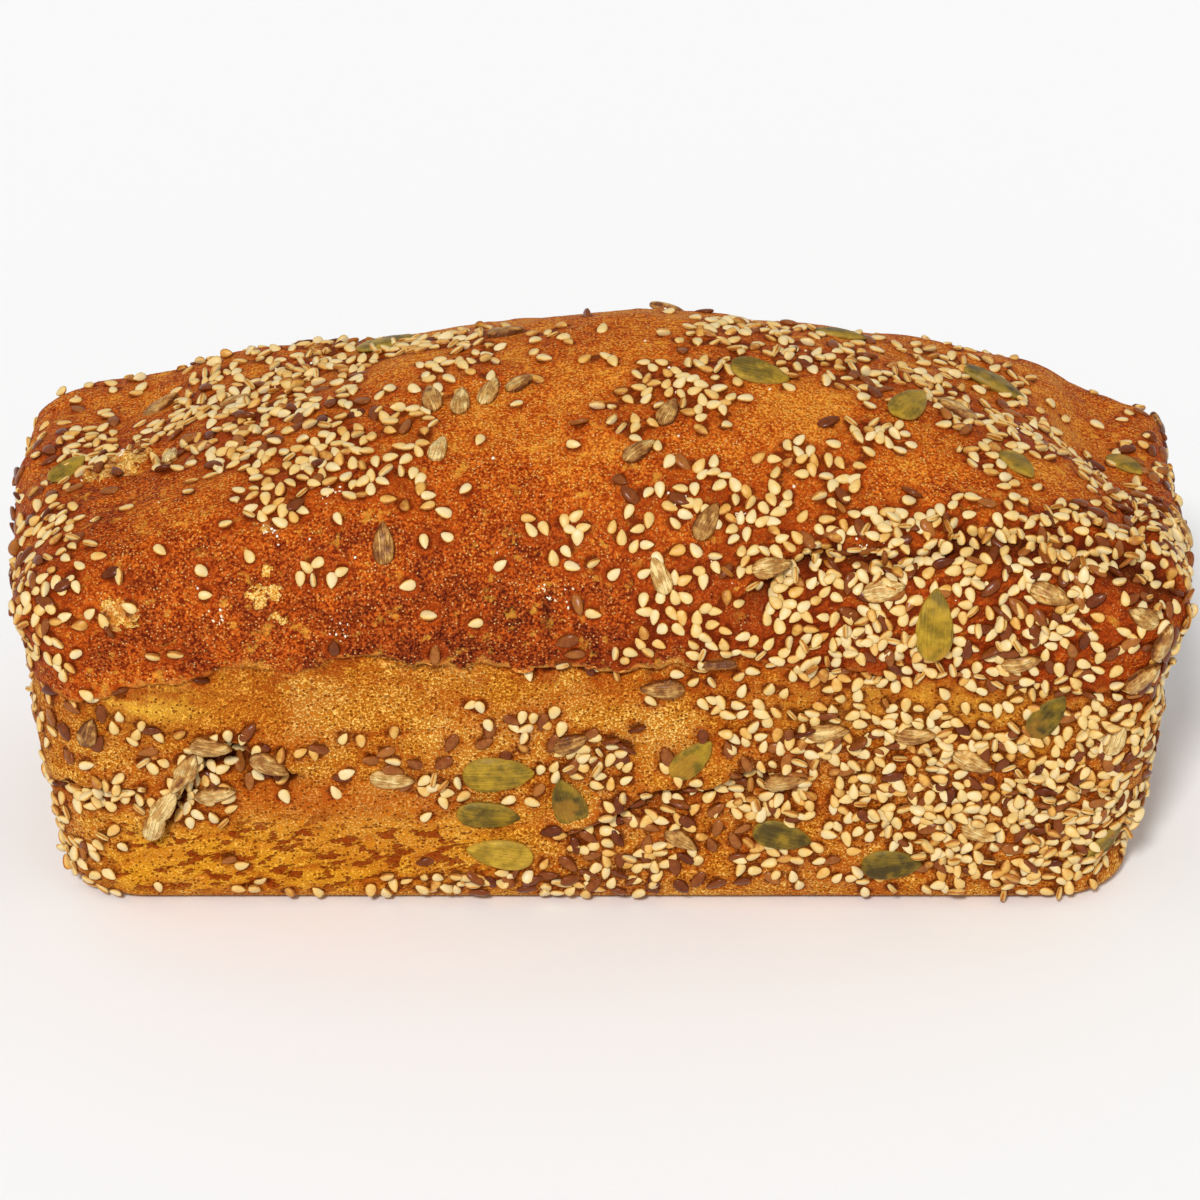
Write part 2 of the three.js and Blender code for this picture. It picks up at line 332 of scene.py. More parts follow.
def crust_mesh():
    """Five grids of a cube, joined at their edges, closed below and carried onto the loaf."""
    dough = bmesh.new()
    quarter = math.pi / 2
    sides = (
        (CELLS_LONG, CELLS_WIDE, Matrix.Identity(4)),
        (CELLS_LONG, CELLS_TALL, Matrix.Rotation(quarter, 4, "X")),
        (CELLS_LONG, CELLS_TALL, Matrix.Rotation(-quarter, 4, "X")),
        (CELLS_TALL, CELLS_WIDE, Matrix.Rotation(quarter, 4, "Y")),
        (CELLS_TALL, CELLS_WIDE, Matrix.Rotation(-quarter, 4, "Y")),
    )
    for across, up, turn in sides:
        place = turn @ Matrix.Translation((0, 0, 1))
        bmesh.ops.create_grid(dough, x_segments=across, y_segments=up, size=1.0, matrix=place)
    bmesh.ops.remove_doubles(dough, verts=dough.verts, dist=SAME_PLACE)
    open_edges = [edge for edge in dough.edges if edge.is_boundary]
    base = bmesh.ops.holes_fill(dough, edges=open_edges, sides=0)["faces"]
    bmesh.ops.triangulate(dough, faces=base)
    shape = loaf_shape(np.array([corner.co for corner in dough.verts]))
    for corner, place in zip(dough.verts, shape * MM):
        corner.co = place
    bmesh.ops.recalc_face_normals(dough, faces=dough.faces)
    mesh = bpy.data.meshes.new("crust")
    dough.to_mesh(mesh)
    dough.free()
    normals = np.empty(len(mesh.vertices) * 3)
    mesh.vertex_normals.foreach_get("vector", normals)
    normals = normals.reshape(-1, 3)
    relief, masks = crust_maps(shape, normals)
    raised = (shape + normals * relief[:, None]) * MM
    raised[:, 2] = np.maximum(raised[:, 2], 0.0)
    mesh.vertices.foreach_set("co", raised.ravel())
    for name, values in masks.items():
        set_values(mesh, name, values)
    mesh.shade_smooth()
    mesh.update()
    return mesh


def set_values(mesh, name, values):
    """Stores a number for each corner of a mesh under a name that its material reads."""
    mesh.attributes.new(name, "FLOAT", "POINT").data.foreach_set("value", values)


def add_piece(name, mesh, material):
    piece = bpy.data.objects.new(name, mesh)
    bpy.context.scene.collection.objects.link(piece)
    mesh.materials.append(material)
    return piece


class Shading:
    """Short ways to add and join the nodes of one material or one shared effect."""

    def __init__(self, tree):
        self.nodes = tree.nodes
        self.links = tree.links

    def set(self, socket, value):
        if isinstance(value, bpy.types.NodeSocket):
            self.links.new(value, socket)
        elif isinstance(value, tuple) and len(value) == 3 and socket.type == "RGBA":
            socket.default_value = (*value, 1.0)
        else:
            socket.default_value = value

    def put(self, kind, inputs, **settings):
        node = self.nodes.new(kind)
        for name, value in settings.items():
            setattr(node, name, value)
        for name, value in inputs.items():
            self.set(node.inputs[name], value)
        return node

    def attribute(self, name):
        return self.put("ShaderNodeAttribute", {}, attribute_name=name).outputs["Fac"]

    def math(self, operation, *values):
        return self.put("ShaderNodeMath", dict(enumerate(values)), operation=operation).outputs[0]

    def times(self, first, second):
        return self.math("MULTIPLY", first, second)

    def plus(self, first, second):
        return self.math("ADD", first, second)

    def swing(self, value, amount):
        """A value from 0 to 1 made to swing by the amount about zero."""
        return self.math("MULTIPLY_ADD", value, amount, -amount / 2)

    def band(self, value, start, end):
        """0 before start and 1 past end, or the other way round where end is lower."""
        inputs = {"Value": value, "From Min": start, "From Max": end}
        return self.put("ShaderNodeMapRange", inputs, interpolation_type="SMOOTHSTEP").outputs[0]

    def mix(self, factor, first, second):
        inputs = {0: factor, 6: first, 7: second}
        return self.put("ShaderNodeMix", inputs, data_type="RGBA").outputs[2]

    def tint(self, colour, amount, mask, under):
        """Lays a colour over what is under it, by an amount and a mask."""
        return self.mix(self.times(mask, amount), under, colour)

    def ramp(self, value, *stops):
        node = self.put("ShaderNodeValToRGB", {0: value})
        elements = node.color_ramp.elements
        while len(elements) < len(stops):
            elements.new(0.5)
        for element, (place, colour) in zip(elements, stops):
            element.position = place
            element.color = (*colour, 1.0)
        return node.outputs[0]

    def place(self, longer=1.0, climb=0.0):
        """Where each spot is, drawn out lengthwise and turned to climb to the right."""
        place = self.nodes.new("ShaderNodeTexCoord").outputs["Object"]
        if longer == 1.0:
            return place
        inputs = {"Vector": place, "Rotation": (0, -climb, 0), "Scale": (longer, 1, 1)}
        return self.put("ShaderNodeMapping", inputs, vector_type="TEXTURE").outputs[0]

    def lumps(self, scale, detail=2.0, rough=0.5, low=0.32, high=0.68, longer=1.0, climb=0.0):
        """Soft lumps, so many to the metre, spread over the whole of 0 to 1."""
        inputs = {"Vector": self.place(longer, climb), "Scale": scale}
        noise_node = self.put("ShaderNodeTexNoise", {**inputs, "Detail": detail, "Roughness": rough})
        return self.band(noise_node.outputs["Fac"], low, high)

    def effect(self, group, **inputs):
        """A shared effect with its own values: mottle_scale sets its socket Mottle scale."""
        node = self.put("ShaderNodeGroup", {}, node_tree=group)
        for name, value in inputs.items():
            self.set(node.inputs[name.replace("_", " ").capitalize()], value)
        return node.outputs[0]

    def bump(self, height, distance):
        return self.put("ShaderNodeBump", {"Height": height, "Distance": distance}).outputs["Normal"]

    def finish(self, shader, colour, roughness, gloss, normal):
        self.set(shader["Base Color"], colour)
        self.set(shader["Roughness"], roughness)
        self.set(shader["Specular IOR Level"], gloss)
        self.set(shader["Normal"], normal)


def new_material(name):
    """A material, ways to fill it, and the sockets of its shader."""
    material = bpy.data.materials.new(name)
    material.use_nodes = True
    return material, Shading(material.node_tree), material.node_tree.nodes["Principled BSDF"].inputs


def new_effect(name, wanted, given):
    """A shader node group with named number inputs and one output, and ways to fill it."""
    group = bpy.data.node_groups.new(name, "ShaderNodeTree")
    for label in wanted:
        group.interface.new_socket(label, in_out="INPUT", socket_type="NodeSocketFloat")
    group.interface.new_socket(given, in_out="OUTPUT", socket_type="NodeSocketFloat")
    shading = Shading(group)
    inputs = shading.nodes.new("NodeGroupInput").outputs
    output = shading.nodes.new("NodeGroupOutput").inputs[0]
    return group, shading, inputs, output


def round_dots():
    """Small round spots strewn through the dough, for blisters, pores and painted glints of light."""
    group, s, wanted, dot = new_effect("round_dots", ("Scale", "Size", "Share"), "Dot")
    cells = s.put("ShaderNodeTexVoronoi", {"Vector": s.place(), "Scale": wanted["Scale"]})
    inside = s.math("SUBTRACT", wanted["Size"], cells.outputs["Distance"])
    rounded = s.band(s.math("DIVIDE", inside, wanted["Size"]), 0.0, 0.5)
    chance = s.put("ShaderNodeSeparateColor", {0: cells.outputs["Color"]}).outputs[0]
    s.links.new(s.times(rounded, s.math("LESS_THAN", chance, wanted["Share"])), dot)
    return group


DOTS = round_dots()


def browned_skin(s, coarse, fine, blister, painted_glint):
    """The crust above the rim: scorched red-brown, with lighter fired specks and painted glints of
    light.
    """
    bake = s.plus(s.attribute("bake"), s.swing(s.lumps(105, 3.0, 0.6), 0.36))
    bake = s.plus(bake, s.swing(coarse, 0.26))
    scorched = s.ramp(
        bake,
        (0.00, (0.44, 0.085, 0.003)),
        (0.30, (0.31, 0.038, 0.002)),
        (0.60, (0.17, 0.014, 0.001)),
        (1.00, (0.05, 0.005, 0.002)),
    )
    fired = s.ramp(
        bake,
        (0.00, (0.84, 0.320, 0.038)),
        (0.30, (0.72, 0.180, 0.016)),
        (0.60, (0.58, 0.110, 0.011)),
        (1.00, (0.30, 0.045, 0.008)),
    )
    specks = s.ramp(bake, (0.3, (0.95, 0.430, 0.070)), (0.8, (0.66, 0.180, 0.040)))
    browned = s.tint(specks, 0.85, blister, s.mix(fine, scorched, fired))
    # Pale dots painted on as glints of light.
    browned = s.tint((0.97, 0.620, 0.230), 0.70, painted_glint, browned)
    return s.tint((0.84, 0.400, 0.045), 0.50, s.lumps(330, 3.0, 0.6, 0.58, 0.70), browned)


def golden_skin(s, sponge, pore, streak):
    """The wall that baked against the tin: spongy gold, red where it wrinkled or lapped."""
    grain = s.plus(s.times(s.lumps(70, 4.0, 0.6), 0.28), s.times(sponge, 0.72))
    golden = s.ramp(
        grain,
        (0.00, (0.34, 0.062, 0.002)),
        (0.35, (0.63, 0.200, 0.010)),
        (0.70, (0.85, 0.365, 0.036)),
        (1.00, (0.98, 0.650, 0.190)),
    )
    golden = s.tint((0.56, 0.120, 0.008), 0.52, s.lumps(46, 3.0, 0.6, 0.52, 0.70), golden)
    golden = s.tint((0.98, 0.550, 0.050), 0.68, s.attribute("yellow"), golden)
    golden = s.tint((0.98, 0.460, 0.020), 0.45, s.attribute("wrinkled"), golden)
    golden = s.tint((0.50, 0.075, 0.006), 0.75, s.attribute("red"), golden)
    golden = s.tint((0.28, 0.028, 0.002), 0.88, streak, golden)
    return s.tint((0.26, 0.036, 0.002), 0.80, pore, golden)


def marks_of_the_tear(s, skin, over_rim, wall, bold):
    """A darker red band under the torn rim, its pale edge, and a painted shadow line beneath that
    edge.
    """
    # Darker red below the torn rim, fading downwards.
    darker_under_rim = s.times(s.band(over_rim, -12.0, -1.0), wall)
    darker_under_rim = s.times(darker_under_rim, s.lumps(150, 4.0, 0.65, 0.42, 0.60))
    skin = s.tint((0.40, 0.055, 0.004), 0.80, darker_under_rim, skin)
    torn_edge = s.times(s.band(over_rim, -0.7, -0.2), s.band(over_rim, 1.5, 0.6))
    skin = s.tint((0.80, 0.380, 0.070), 0.80, s.times(torn_edge, bold), skin)
    # Painted shadow: a dark line under the torn lip.
    painted_shadow_line = s.times(s.band(over_rim, -2.0, -1.2), s.band(over_rim, -0.5, -0.9))
    return s.tint((0.10, 0.010, 0.003), 0.90, s.times(painted_shadow_line, bold), skin)


def marks_of_the_scabs(s, skin, sponge):
    """Pale crumb where the skin flaked off, with a scorched edge."""
    scab = s.plus(s.attribute("scab"), s.swing(s.lumps(420, 3.0, 0.6), 0.84))
    crumb = s.ramp(
        sponge,
        (0.0, (0.54, 0.19, 0.014)),
        (0.6, (0.80, 0.42, 0.070)),
        (1.0, (0.93, 0.66, 0.240)),
    )
    skin = s.mix(s.band(scab, 0.50, 0.60), skin, crumb)
    edge = s.times(s.band(scab, 0.38, 0.50), s.band(scab, 0.66, 0.54))
    return s.tint((0.20, 0.026, 0.002), 0.60, edge, skin)


def marks_of_the_seeds(s, skin, upper, coarse, crowd):
    """Darker red dough in a crowd of seeds, partly wet dough and partly painted shade between them, a
    scorched reddish ring round each seed, and painted contact shadow at its edge.
    """
    wet_and_shaded = s.times(crowd, s.lumps(260, 2.0, 0.5, 0.36, 0.60))
    wet_and_shaded = s.times(wet_and_shaded, s.math("MULTIPLY_ADD", upper, 0.74, 0.26))
    # Partly painted shade between crowded seeds.
    skin = s.tint((0.19, 0.019, 0.002), 0.76, wet_and_shaded, skin)
    gap = s.plus(s.attribute("seed_gap"), s.swing(coarse, 1.0))
    skin = s.tint((0.44, 0.060, 0.004), 0.46, s.band(gap, 3.6, 1.8), skin)
    # Painted contact shadow: a near-black ring at each seed's edge.
    return s.tint((0.10, 0.009, 0.001), 0.78, s.band(gap, 2.1, 1.2), skin)


def crust_material():
    """Browned above the rim, golden below it, with blisters, pores and scorched streaks, painted
    glints, and painted shade in hollows, under the rim and round the seeds.
    """
    material, s, shader = new_material("crust")
    bold = s.attribute("bold")
    fray = s.plus(s.swing(s.lumps(900, 3.0, 0.6), 1.4), s.swing(s.lumps(230, 2.0, 0.5), 2.8))
    fray = s.times(fray, s.math("MULTIPLY_ADD", bold, -0.75, 1.0))
    over_rim = s.plus(s.attribute("over_rim"), fray)
    blur = s.math("MULTIPLY_ADD", bold, -2.6, 2.9)
    upper = s.band(over_rim, s.times(blur, -1.0), blur)
    wall = s.math("SUBTRACT", 1.0, upper)
    coarse = s.lumps(430, 3.0, 0.65)
    fine = s.lumps(1700, 2.0, 0.6, 0.38, 0.64)
    sponge = s.lumps(2000, 2.0, 0.7, 0.38, 0.62)
    blister = s.effect(DOTS, scale=1250.0, size=0.42, share=0.66)
    # Painted glints: pale dots that stand in for small highlights.
    painted_glint = s.effect(DOTS, scale=1400.0, size=0.34, share=0.22)
    pore = s.effect(DOTS, scale=1150.0, size=0.40, share=0.50)
    dashes = s.lumps(430, 3.0, 0.6, 0.54, 0.60, longer=2.0, climb=math.atan(WRINKLE_RISE))
    streak = s.times(dashes, s.attribute("wrinkled"))
    crowd = s.attribute("crowd")

    golden = golden_skin(s, sponge, pore, streak)
    skin = s.mix(upper, golden, browned_skin(s, coarse, fine, blister, painted_glint))
    skin = marks_of_the_tear(s, skin, over_rim, wall, bold)
    skin = marks_of_the_scabs(s, skin, sponge)
    skin = marks_of_the_seeds(s, skin, upper, coarse, crowd)
    # Painted shade: near black in the hollows under the folds and in the short crack.
    skin = s.tint((0.04, 0.007, 0.003), 0.85, s.attribute("pit"), skin)

    roughness = s.math("SUBTRACT", s.plus(0.52, s.times(fine, 0.10)), s.times(crowd, 0.16))
    blistered = s.plus(s.plus(s.times(blister, 0.5), s.times(painted_glint, 0.3)), s.times(fine, 0.3))
    porous = s.math("SUBTRACT", s.times(sponge, 0.6), pore)
    relief = s.plus(s.times(upper, blistered), s.times(wall, porous))
    relief = s.plus(relief, s.times(coarse, 0.5))
    relief = s.math("SUBTRACT", relief, s.times(streak, 1.4))
    s.finish(shader, skin, roughness, gloss=0.03, normal=s.bump(relief, 0.40 * MM))
    return material


crust = add_piece("crust", crust_mesh(), crust_material())
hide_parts("loaf")
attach(crust, "root")
crust_tree = BVHTree.FromObject(crust, bpy.context.evaluated_depsgraph_get())

# The torn edge: where the rising dough pulled away from the tin's rim its skin
# tore into thin flakes, which baked pale and curl out over the tear. They are
# part of the crust and hold to it by their upper edges.
FLAKE_LONG, FLAKE_TALL, FLAKE_THICK = 3.4, 0.9, 0.22
FLAKE_SPACING = 3.6
FLAKE_SINK = 0.1


def flake_mesh(number, length, drop):
    """A thin curled scale of crust, its ragged edge hanging towards -Y."""
    flake = bmesh.new()
    bmesh.ops.create_grid(flake, x_segments=9, y_segments=3, size=0.5)
    for corner in flake.verts:
        x, y, _ = corner.co
        hanging = 0.5 - y
        torn = 1 + 0.55 * noise.noise(Vector((x * 5.0, number * 3.1, 0.0)))
        taper = 1 - (2 * abs(x)) ** 3 * 0.8
        curl = 0.55 * hanging**1.6 + 0.35 * noise.noise(Vector((x * 3.0, y * 2.0, number * 1.7)))
        corner.co = (x * length, (0.35 - hanging * torn * taper) * drop, curl * hanging * taper * drop)
    bmesh.ops.solidify(flake, geom=flake.faces, thickness=FLAKE_THICK * MM)
    bmesh.ops.recalc_face_normals(flake, faces=flake.faces)
    mesh = bpy.data.meshes.new("flake")
    flake.to_mesh(mesh)
    flake.free()
    return mesh


def spaced_out(places, spacing):
    """The numbers of the places that stand no nearer than spacing to one already kept."""
    kept, cells = [], {}
    for number, place in enumerate(places):
        cell = tuple((place // spacing).astype(int))
        around = itertools.product(*((step - 1, step, step + 1) for step in cell))
        near = [other for neighbour in around for other in cells.get(neighbour, ())]
        if all(((place - other) ** 2).sum() >= spacing**2 for other in near):
            cells.setdefault(cell, []).append(place)
            kept.append(number)
    return kept


def values_of(mesh, name):
    values = np.empty(len(mesh.vertices))
    mesh.attributes[name].data.foreach_get("value", values)
    return values


def flake_material():
    material, s, shader = new_material("torn_flake")
    mottle = s.lumps(700, 3.0, 0.6)
    skin = s.ramp(
        mottle,
        (0.0, (0.34, 0.05, 0.004)),
        (0.5, (0.60, 0.18, 0.016)),
        (1.0, (0.86, 0.44, 0.090)),
    )
    s.finish(shader, skin, roughness=0.55, gloss=0.2, normal=s.bump(mottle, 0.25 * MM))
    return material


def tear_flakes():
    draws = np.random.default_rng(5)
    corners = np.array([corner.co for corner in crust.data.vertices]) / MM
    on_tear = np.abs(values_of(crust.data, "over_rim") - 0.3) < 0.45
    on_tear &= values_of(crust.data, "bold") > draws.uniform(0.45, 1.3, len(corners))
    places = draws.permutation(corners[on_tear])
    bed = bmesh.new()
    for number, kept in enumerate(spaced_out(places, FLAKE_SPACING)):
        contact, outward, _, _ = crust_tree.find_nearest(Vector(places[kept] * MM))
        along = Vector((0, 0, 1)).cross(outward).normalized()
        turn = Matrix((along, outward.cross(along), outward)).transposed().to_4x4()
        length = draws.uniform(0.5, 1.5) * FLAKE_LONG * MM
        flake = flake_mesh(number, length, draws.uniform(0.6, 1.2) * FLAKE_TALL * MM)
        flake.transform(Matrix.Translation(contact - outward * FLAKE_SINK * MM) @ turn)
        bed.from_mesh(flake)
        bpy.data.meshes.remove(flake)
    mesh = bpy.data.meshes.new("torn_flakes")
    bed.to_mesh(mesh)
    bed.free()
    mesh.shade_smooth()
    return mesh


flakes = add_piece("torn_flakes", tear_flakes(), flake_material())
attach(flakes, "root")

# The pumpkin seeds: hulled, flat and green, with one pointed end, a thicker rim
# and a fine skin with lengthwise veins. They are pressed into the dough before it
# bakes, and the oven turns some brown or yellow.
PUMPKIN = {
    "length": 15.0, "width": 7.8, "thickness": 2.5, "tip": 0.30,
    "wobble": 0.14, "rim": 0.16, "rings": (28, 18),
}
PUMPKIN_SINK = -0.5
# How dark green to yellow each seed of the frame baked, in their order.
PUMPKIN_TONES = (
    0.62, 0.56, 0.30, 0.34, 0.74, 0.50, 0.32, 0.24, 0.16, 0.40, 0.56, 0.50,
    0.42, 0.36, 0.50, 0.62, 0.56, 0.52, 0.30, 0.62, 0.20, 0.50, 0.40, 0.60,
)


def seed_mesh(name, number=0, length=1.0, width=1.0, thickness=1.0, tip=0.3,
              wobble=0.0, rim=0.0, ridges=0.0, flatness=0.75, rings=(24, 18)):
    """A pointed, flattened seed in mm, point along +X, with its own slight bend and dents."""
    kernel = bmesh.new()
    bmesh.ops.create_uvsphere(kernel, u_segments=rings[0], v_segments=rings[1], radius=1.0)
    bmesh.ops.rotate(kernel, verts=kernel.verts, matrix=Matrix.Rotation(math.pi / 2, 3, "Y"))
    edge = []
    for corner in kernel.verts:
        x, y, z = corner.co
        girth = math.hypot(y, z)
        edge.append(1 - abs(z) / girth if girth > 1e-3 else 0.5)
        pinch = (1 - tip * x) * (1 - 0.25 * float(ramp(x, 0.55, 1.0)))
        dent = wobble * noise.noise(Vector((x * 2.1, y * 2.1, number * 3.7)))
        bend = wobble * 0.8 * math.sin(number * 1.9) * x * x
        rolled = rim * math.exp(-(((abs(y) - 0.80) / 0.13) ** 2)) * (1 - abs(x) ** 6)
        ribbed = ridges * math.cos(y * math.pi * 4.5) * (1 - x * x)
        swell = math.copysign(abs(z) ** flatness, z) * (1 + 2 * rolled + 2 * ribbed)
        grown = (x * length, y * pinch * width, (swell + dent + bend) * thickness)
        corner.co = Vector(grown) / 2 * MM
    mesh = bpy.data.meshes.new(name)
    kernel.to_mesh(mesh)
    kernel.free()
    corners = np.array([corner.co for corner in mesh.vertices]) / MM
    set_values(mesh, "along", corners[:, 0] / length + 0.5)
    set_values(mesh, "lane", corners[:, 1] / width + 0.5)
    set_values(mesh, "edge", edge)
    mesh.shade_smooth()
    return mesh


def set_on_crust(place, heading, sink):
    """The lie of a seed whose middle is sunk so many mm into the crust near a place."""
    contact, outward, _, _ = crust_tree.find_nearest(place)
    point = (heading - outward * heading.dot(outward)).normalized()
    turn = Matrix((point, outward.cross(point), outward)).transposed().to_4x4()
    return Matrix.Translation(contact - outward * sink * MM) @ turn


def node_lie(name):
    """The middle of a seed of the frame, the way its point lies, and its length in mm."""
    corners = np.array([corner.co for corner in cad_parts[name].data.vertices])
    middle = corners.mean(axis=0)
    spread = corners - middle
    along = np.linalg.svd(spread, full_matrices=False)[2][0]
    reach = spread @ along
    girth = np.linalg.norm(spread - np.outer(reach, along), axis=1)
    if girth[reach > 0].mean() > girth[reach < 0].mean():
        along = -along
    return Vector(middle), Vector(along), np.ptp(reach) / MM


def lengthwise_veins():
    """Fine veins that run the length of a hulled seed, different on each one."""
    group, s, wanted, vein = new_effect("lengthwise_veins", ("Tone", "Veins"), "Vein")
    across = s.times(s.attribute("lane"), wanted["Veins"])
    lengthwise = s.times(s.attribute("along"), 2.2)
    own_pattern = s.times(wanted["Tone"], 40.0)
    inputs = {"X": across, "Y": lengthwise, "Z": own_pattern}
    where = s.put("ShaderNodeCombineXYZ", inputs).outputs[0]
    lines = s.put("ShaderNodeTexNoise", {"Vector": where, "Scale": 1.0, "Detail": 3.0})
    s.links.new(s.band(lines.outputs["Fac"], 0.30, 0.70), vein)
    return group


def toasting():
    """How far each spot of a seed is toasted: its own tone, a mottle, and a darker edge that is partly
    painted shade where the seed meets the crust.
    """
    labels = ("Tone", "Mottle scale", "Mottle", "Edge")
    group, s, wanted, shade = new_effect("toasting", labels, "Shade")
    mottle = s.math("SUBTRACT", s.lumps(wanted["Mottle scale"], 3.0, 0.6), 0.5)
    toasted = s.plus(wanted["Tone"], s.times(mottle, wanted["Mottle"]))
    # The darker edge is partly painted shade where the seed turns down to the crust.
    rim = s.times(s.math("POWER", s.attribute("edge"), 2.0), wanted["Edge"])
    s.links.new(s.plus(toasted, rim), shade)
    return group


VEINS = lengthwise_veins()
TOASTING = toasting()
frame_seeds = []


def lay_frame_seeds(kind, material, shape, sink, tones):
    """Lays a modelled seed where the frame has one, a little bent and of its own width."""
    names = sorted(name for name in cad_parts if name.startswith(kind))
    draws = np.random.default_rng(len(kind))
    for number, (name, tone) in enumerate(zip(names, tones)):
        middle, heading, reach = node_lie(name)
        size = reach / shape["length"]
        own = {measure: shape[measure] * size for measure in ("length", "width", "thickness")}
        own["width"] *= draws.uniform(0.94, 1.06)
        mesh = seed_mesh(f"{name}_toasted", number, **{**shape, **own})
        mesh.transform(set_on_crust(middle, heading, sink))
        set_values(mesh, "tone", np.full(len(mesh.vertices), tone))
        seed = add_piece(f"{name}_toasted", mesh, material)
        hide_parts(name)
        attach(seed, "root")
        frame_seeds.append((middle, heading, reach, own["width"]))


def pumpkin_material():
    material, s, shader = new_material("pumpkin_seed")
    tone = s.attribute("tone")
    vein = s.effect(VEINS, tone=tone, veins=24.0)
    shade = s.effect(TOASTING, tone=tone, mottle_scale=260.0, mottle=0.46, edge=0.0)
    shade = s.plus(shade, s.swing(vein, 0.16))
    skin = s.ramp(
        shade,
        (0.05, (0.060, 0.037, 0.003)),
        (0.35, (0.175, 0.108, 0.006)),
        (0.62, (0.350, 0.205, 0.010)),
        (0.95, (0.560, 0.345, 0.026)),
    )
    skin = s.tint((0.40, 0.17, 0.014), 0.50, s.lumps(130, 2.0, 0.5, 0.58, 0.68), skin)
    rim = s.math("POWER", s.attribute("edge"), 3.0)
    skin = s.tint((0.48, 0.33, 0.070), 0.60, rim, skin)
    relief = s.bump(s.plus(s.times(vein, 0.6), shade), 0.16 * MM)
    s.finish(shader, skin, roughness=0.40, gloss=0.20, normal=relief)
    return material


lay_frame_seeds("pumpkin_seed", pumpkin_material(), PUMPKIN, PUMPKIN_SINK, PUMPKIN_TONES)

# The sunflower kernels: hulled, grey to tan, ridged along their length and darker
# at the point, with darker edges that are partly painted shade. The larger ones are pressed in where
# the frame has them; the rest fell into the folds of the dough or lie about the far sides.
SUNFLOWER = {
    "length": 9.0, "width": 4.4, "thickness": 2.6, "tip": 0.40,
    "wobble": 0.18, "ridges": 0.05, "rings": (26, 16),
}
SUNFLOWER_SINK = -0.35
# Kernels in the folds of the front: along, up, the turn of the point in degrees.
FOLD_KERNELS = (
    (-85.5, 36.5, 66), (-82.5, 31.5, 48), (-88.5, 27.5, 58), (-80.0, 29.0, 20), (-91.0, 22.5, 74),
    (-77.0, 39.0, -12), (-71.0, 36.0, -30), (58.0, 84.0, 14), (92.0, 82.0, -24), (37.0, 31.0, 10),
    (118.0, 66.0, 70), (114.0, 58.0, 30),
)
FOLD_KERNEL_SINK = -0.5
SPARE_KERNELS = 14
SPARE_SPACING = 16.0
# The gap round each half of a seed's square in its UV map.
MAP_GUTTER = 0.02


def kernel_material():
    material, s, shader = new_material("sunflower_kernel")
    tone = s.attribute("tone")
    vein = s.effect(VEINS, tone=tone, veins=7.0)
    # The darker edge is partly painted shade.
    shade = s.effect(TOASTING, tone=tone, mottle_scale=420.0, mottle=0.50, edge=-0.60)
    groove = s.band(vein, 0.15, 0.75)
    shade = s.plus(shade, s.swing(groove, 0.20))
    skin = s.ramp(
        shade,
        (0.00, (0.13, 0.036, 0.006)),
        (0.30, (0.33, 0.125, 0.020)),
        (0.60, (0.56, 0.300, 0.075)),
        (0.95, (0.80, 0.580, 0.240)),
    )
    skin = s.tint((0.16, 0.045, 0.009), 0.6, s.band(s.attribute("along"), 0.86, 1.0), skin)
    relief = s.bump(s.plus(groove, shade), 0.26 * MM)
    s.finish(shader, skin, roughness=0.42, gloss=0.3, normal=relief)
    return material


def strewn(name, template, lies, tones, material):
    """Joins a copy of one seed for each lie into one piece, with a tone for each seed."""
    bed = bmesh.new()
    for lie in lies:
        seed = template.copy()
        seed.transform(lie)
        bed.from_mesh(seed)
        bpy.data.meshes.remove(seed)
    mesh = bpy.data.meshes.new(name)
    bed.to_mesh(mesh)
    bed.free()
    for value in ("along", "lane", "edge"):
        mesh.attributes.remove(mesh.attributes[value])
        set_values(mesh, value, np.tile(values_of(template, value), len(lies)))
    set_values(mesh, "tone", np.repeat(tones, len(template.vertices)))
    lay_out_map(mesh, template, len(lies))
    mesh.shade_smooth()
    piece = add_piece(name, mesh, material)
    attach(piece, "root")


def lay_out_map(mesh, template, count):
    """A UV map with a square for each seed, its upper face in one half, its lower in the other."""
    corners = np.array([corner.co for corner in template.vertices])
    flat = (corners - corners.min(axis=0)) / np.ptp(corners, axis=0)
    flat = flat[:, :2] * ((1 - 4 * MAP_GUTTER) / 2, 1 - 4 * MAP_GUTTER) + (MAP_GUTTER, 2 * MAP_GUTTER)
    places = []
    for face in template.polygons:
        half = 0.5 if face.center.z < 0 else 0.0
        places += [flat[corner] + (half, 0.0) for corner in face.vertices]
    side = math.ceil(math.sqrt(count))
    squares = np.array([(number % side, number // side) for number in range(count)])
    spread = (np.tile(places, (count, 1)) + np.repeat(squares, len(places), axis=0)) / side
    mesh.uv_layers.new(name="OFBake").uv.foreach_set("vector", spread.ravel())


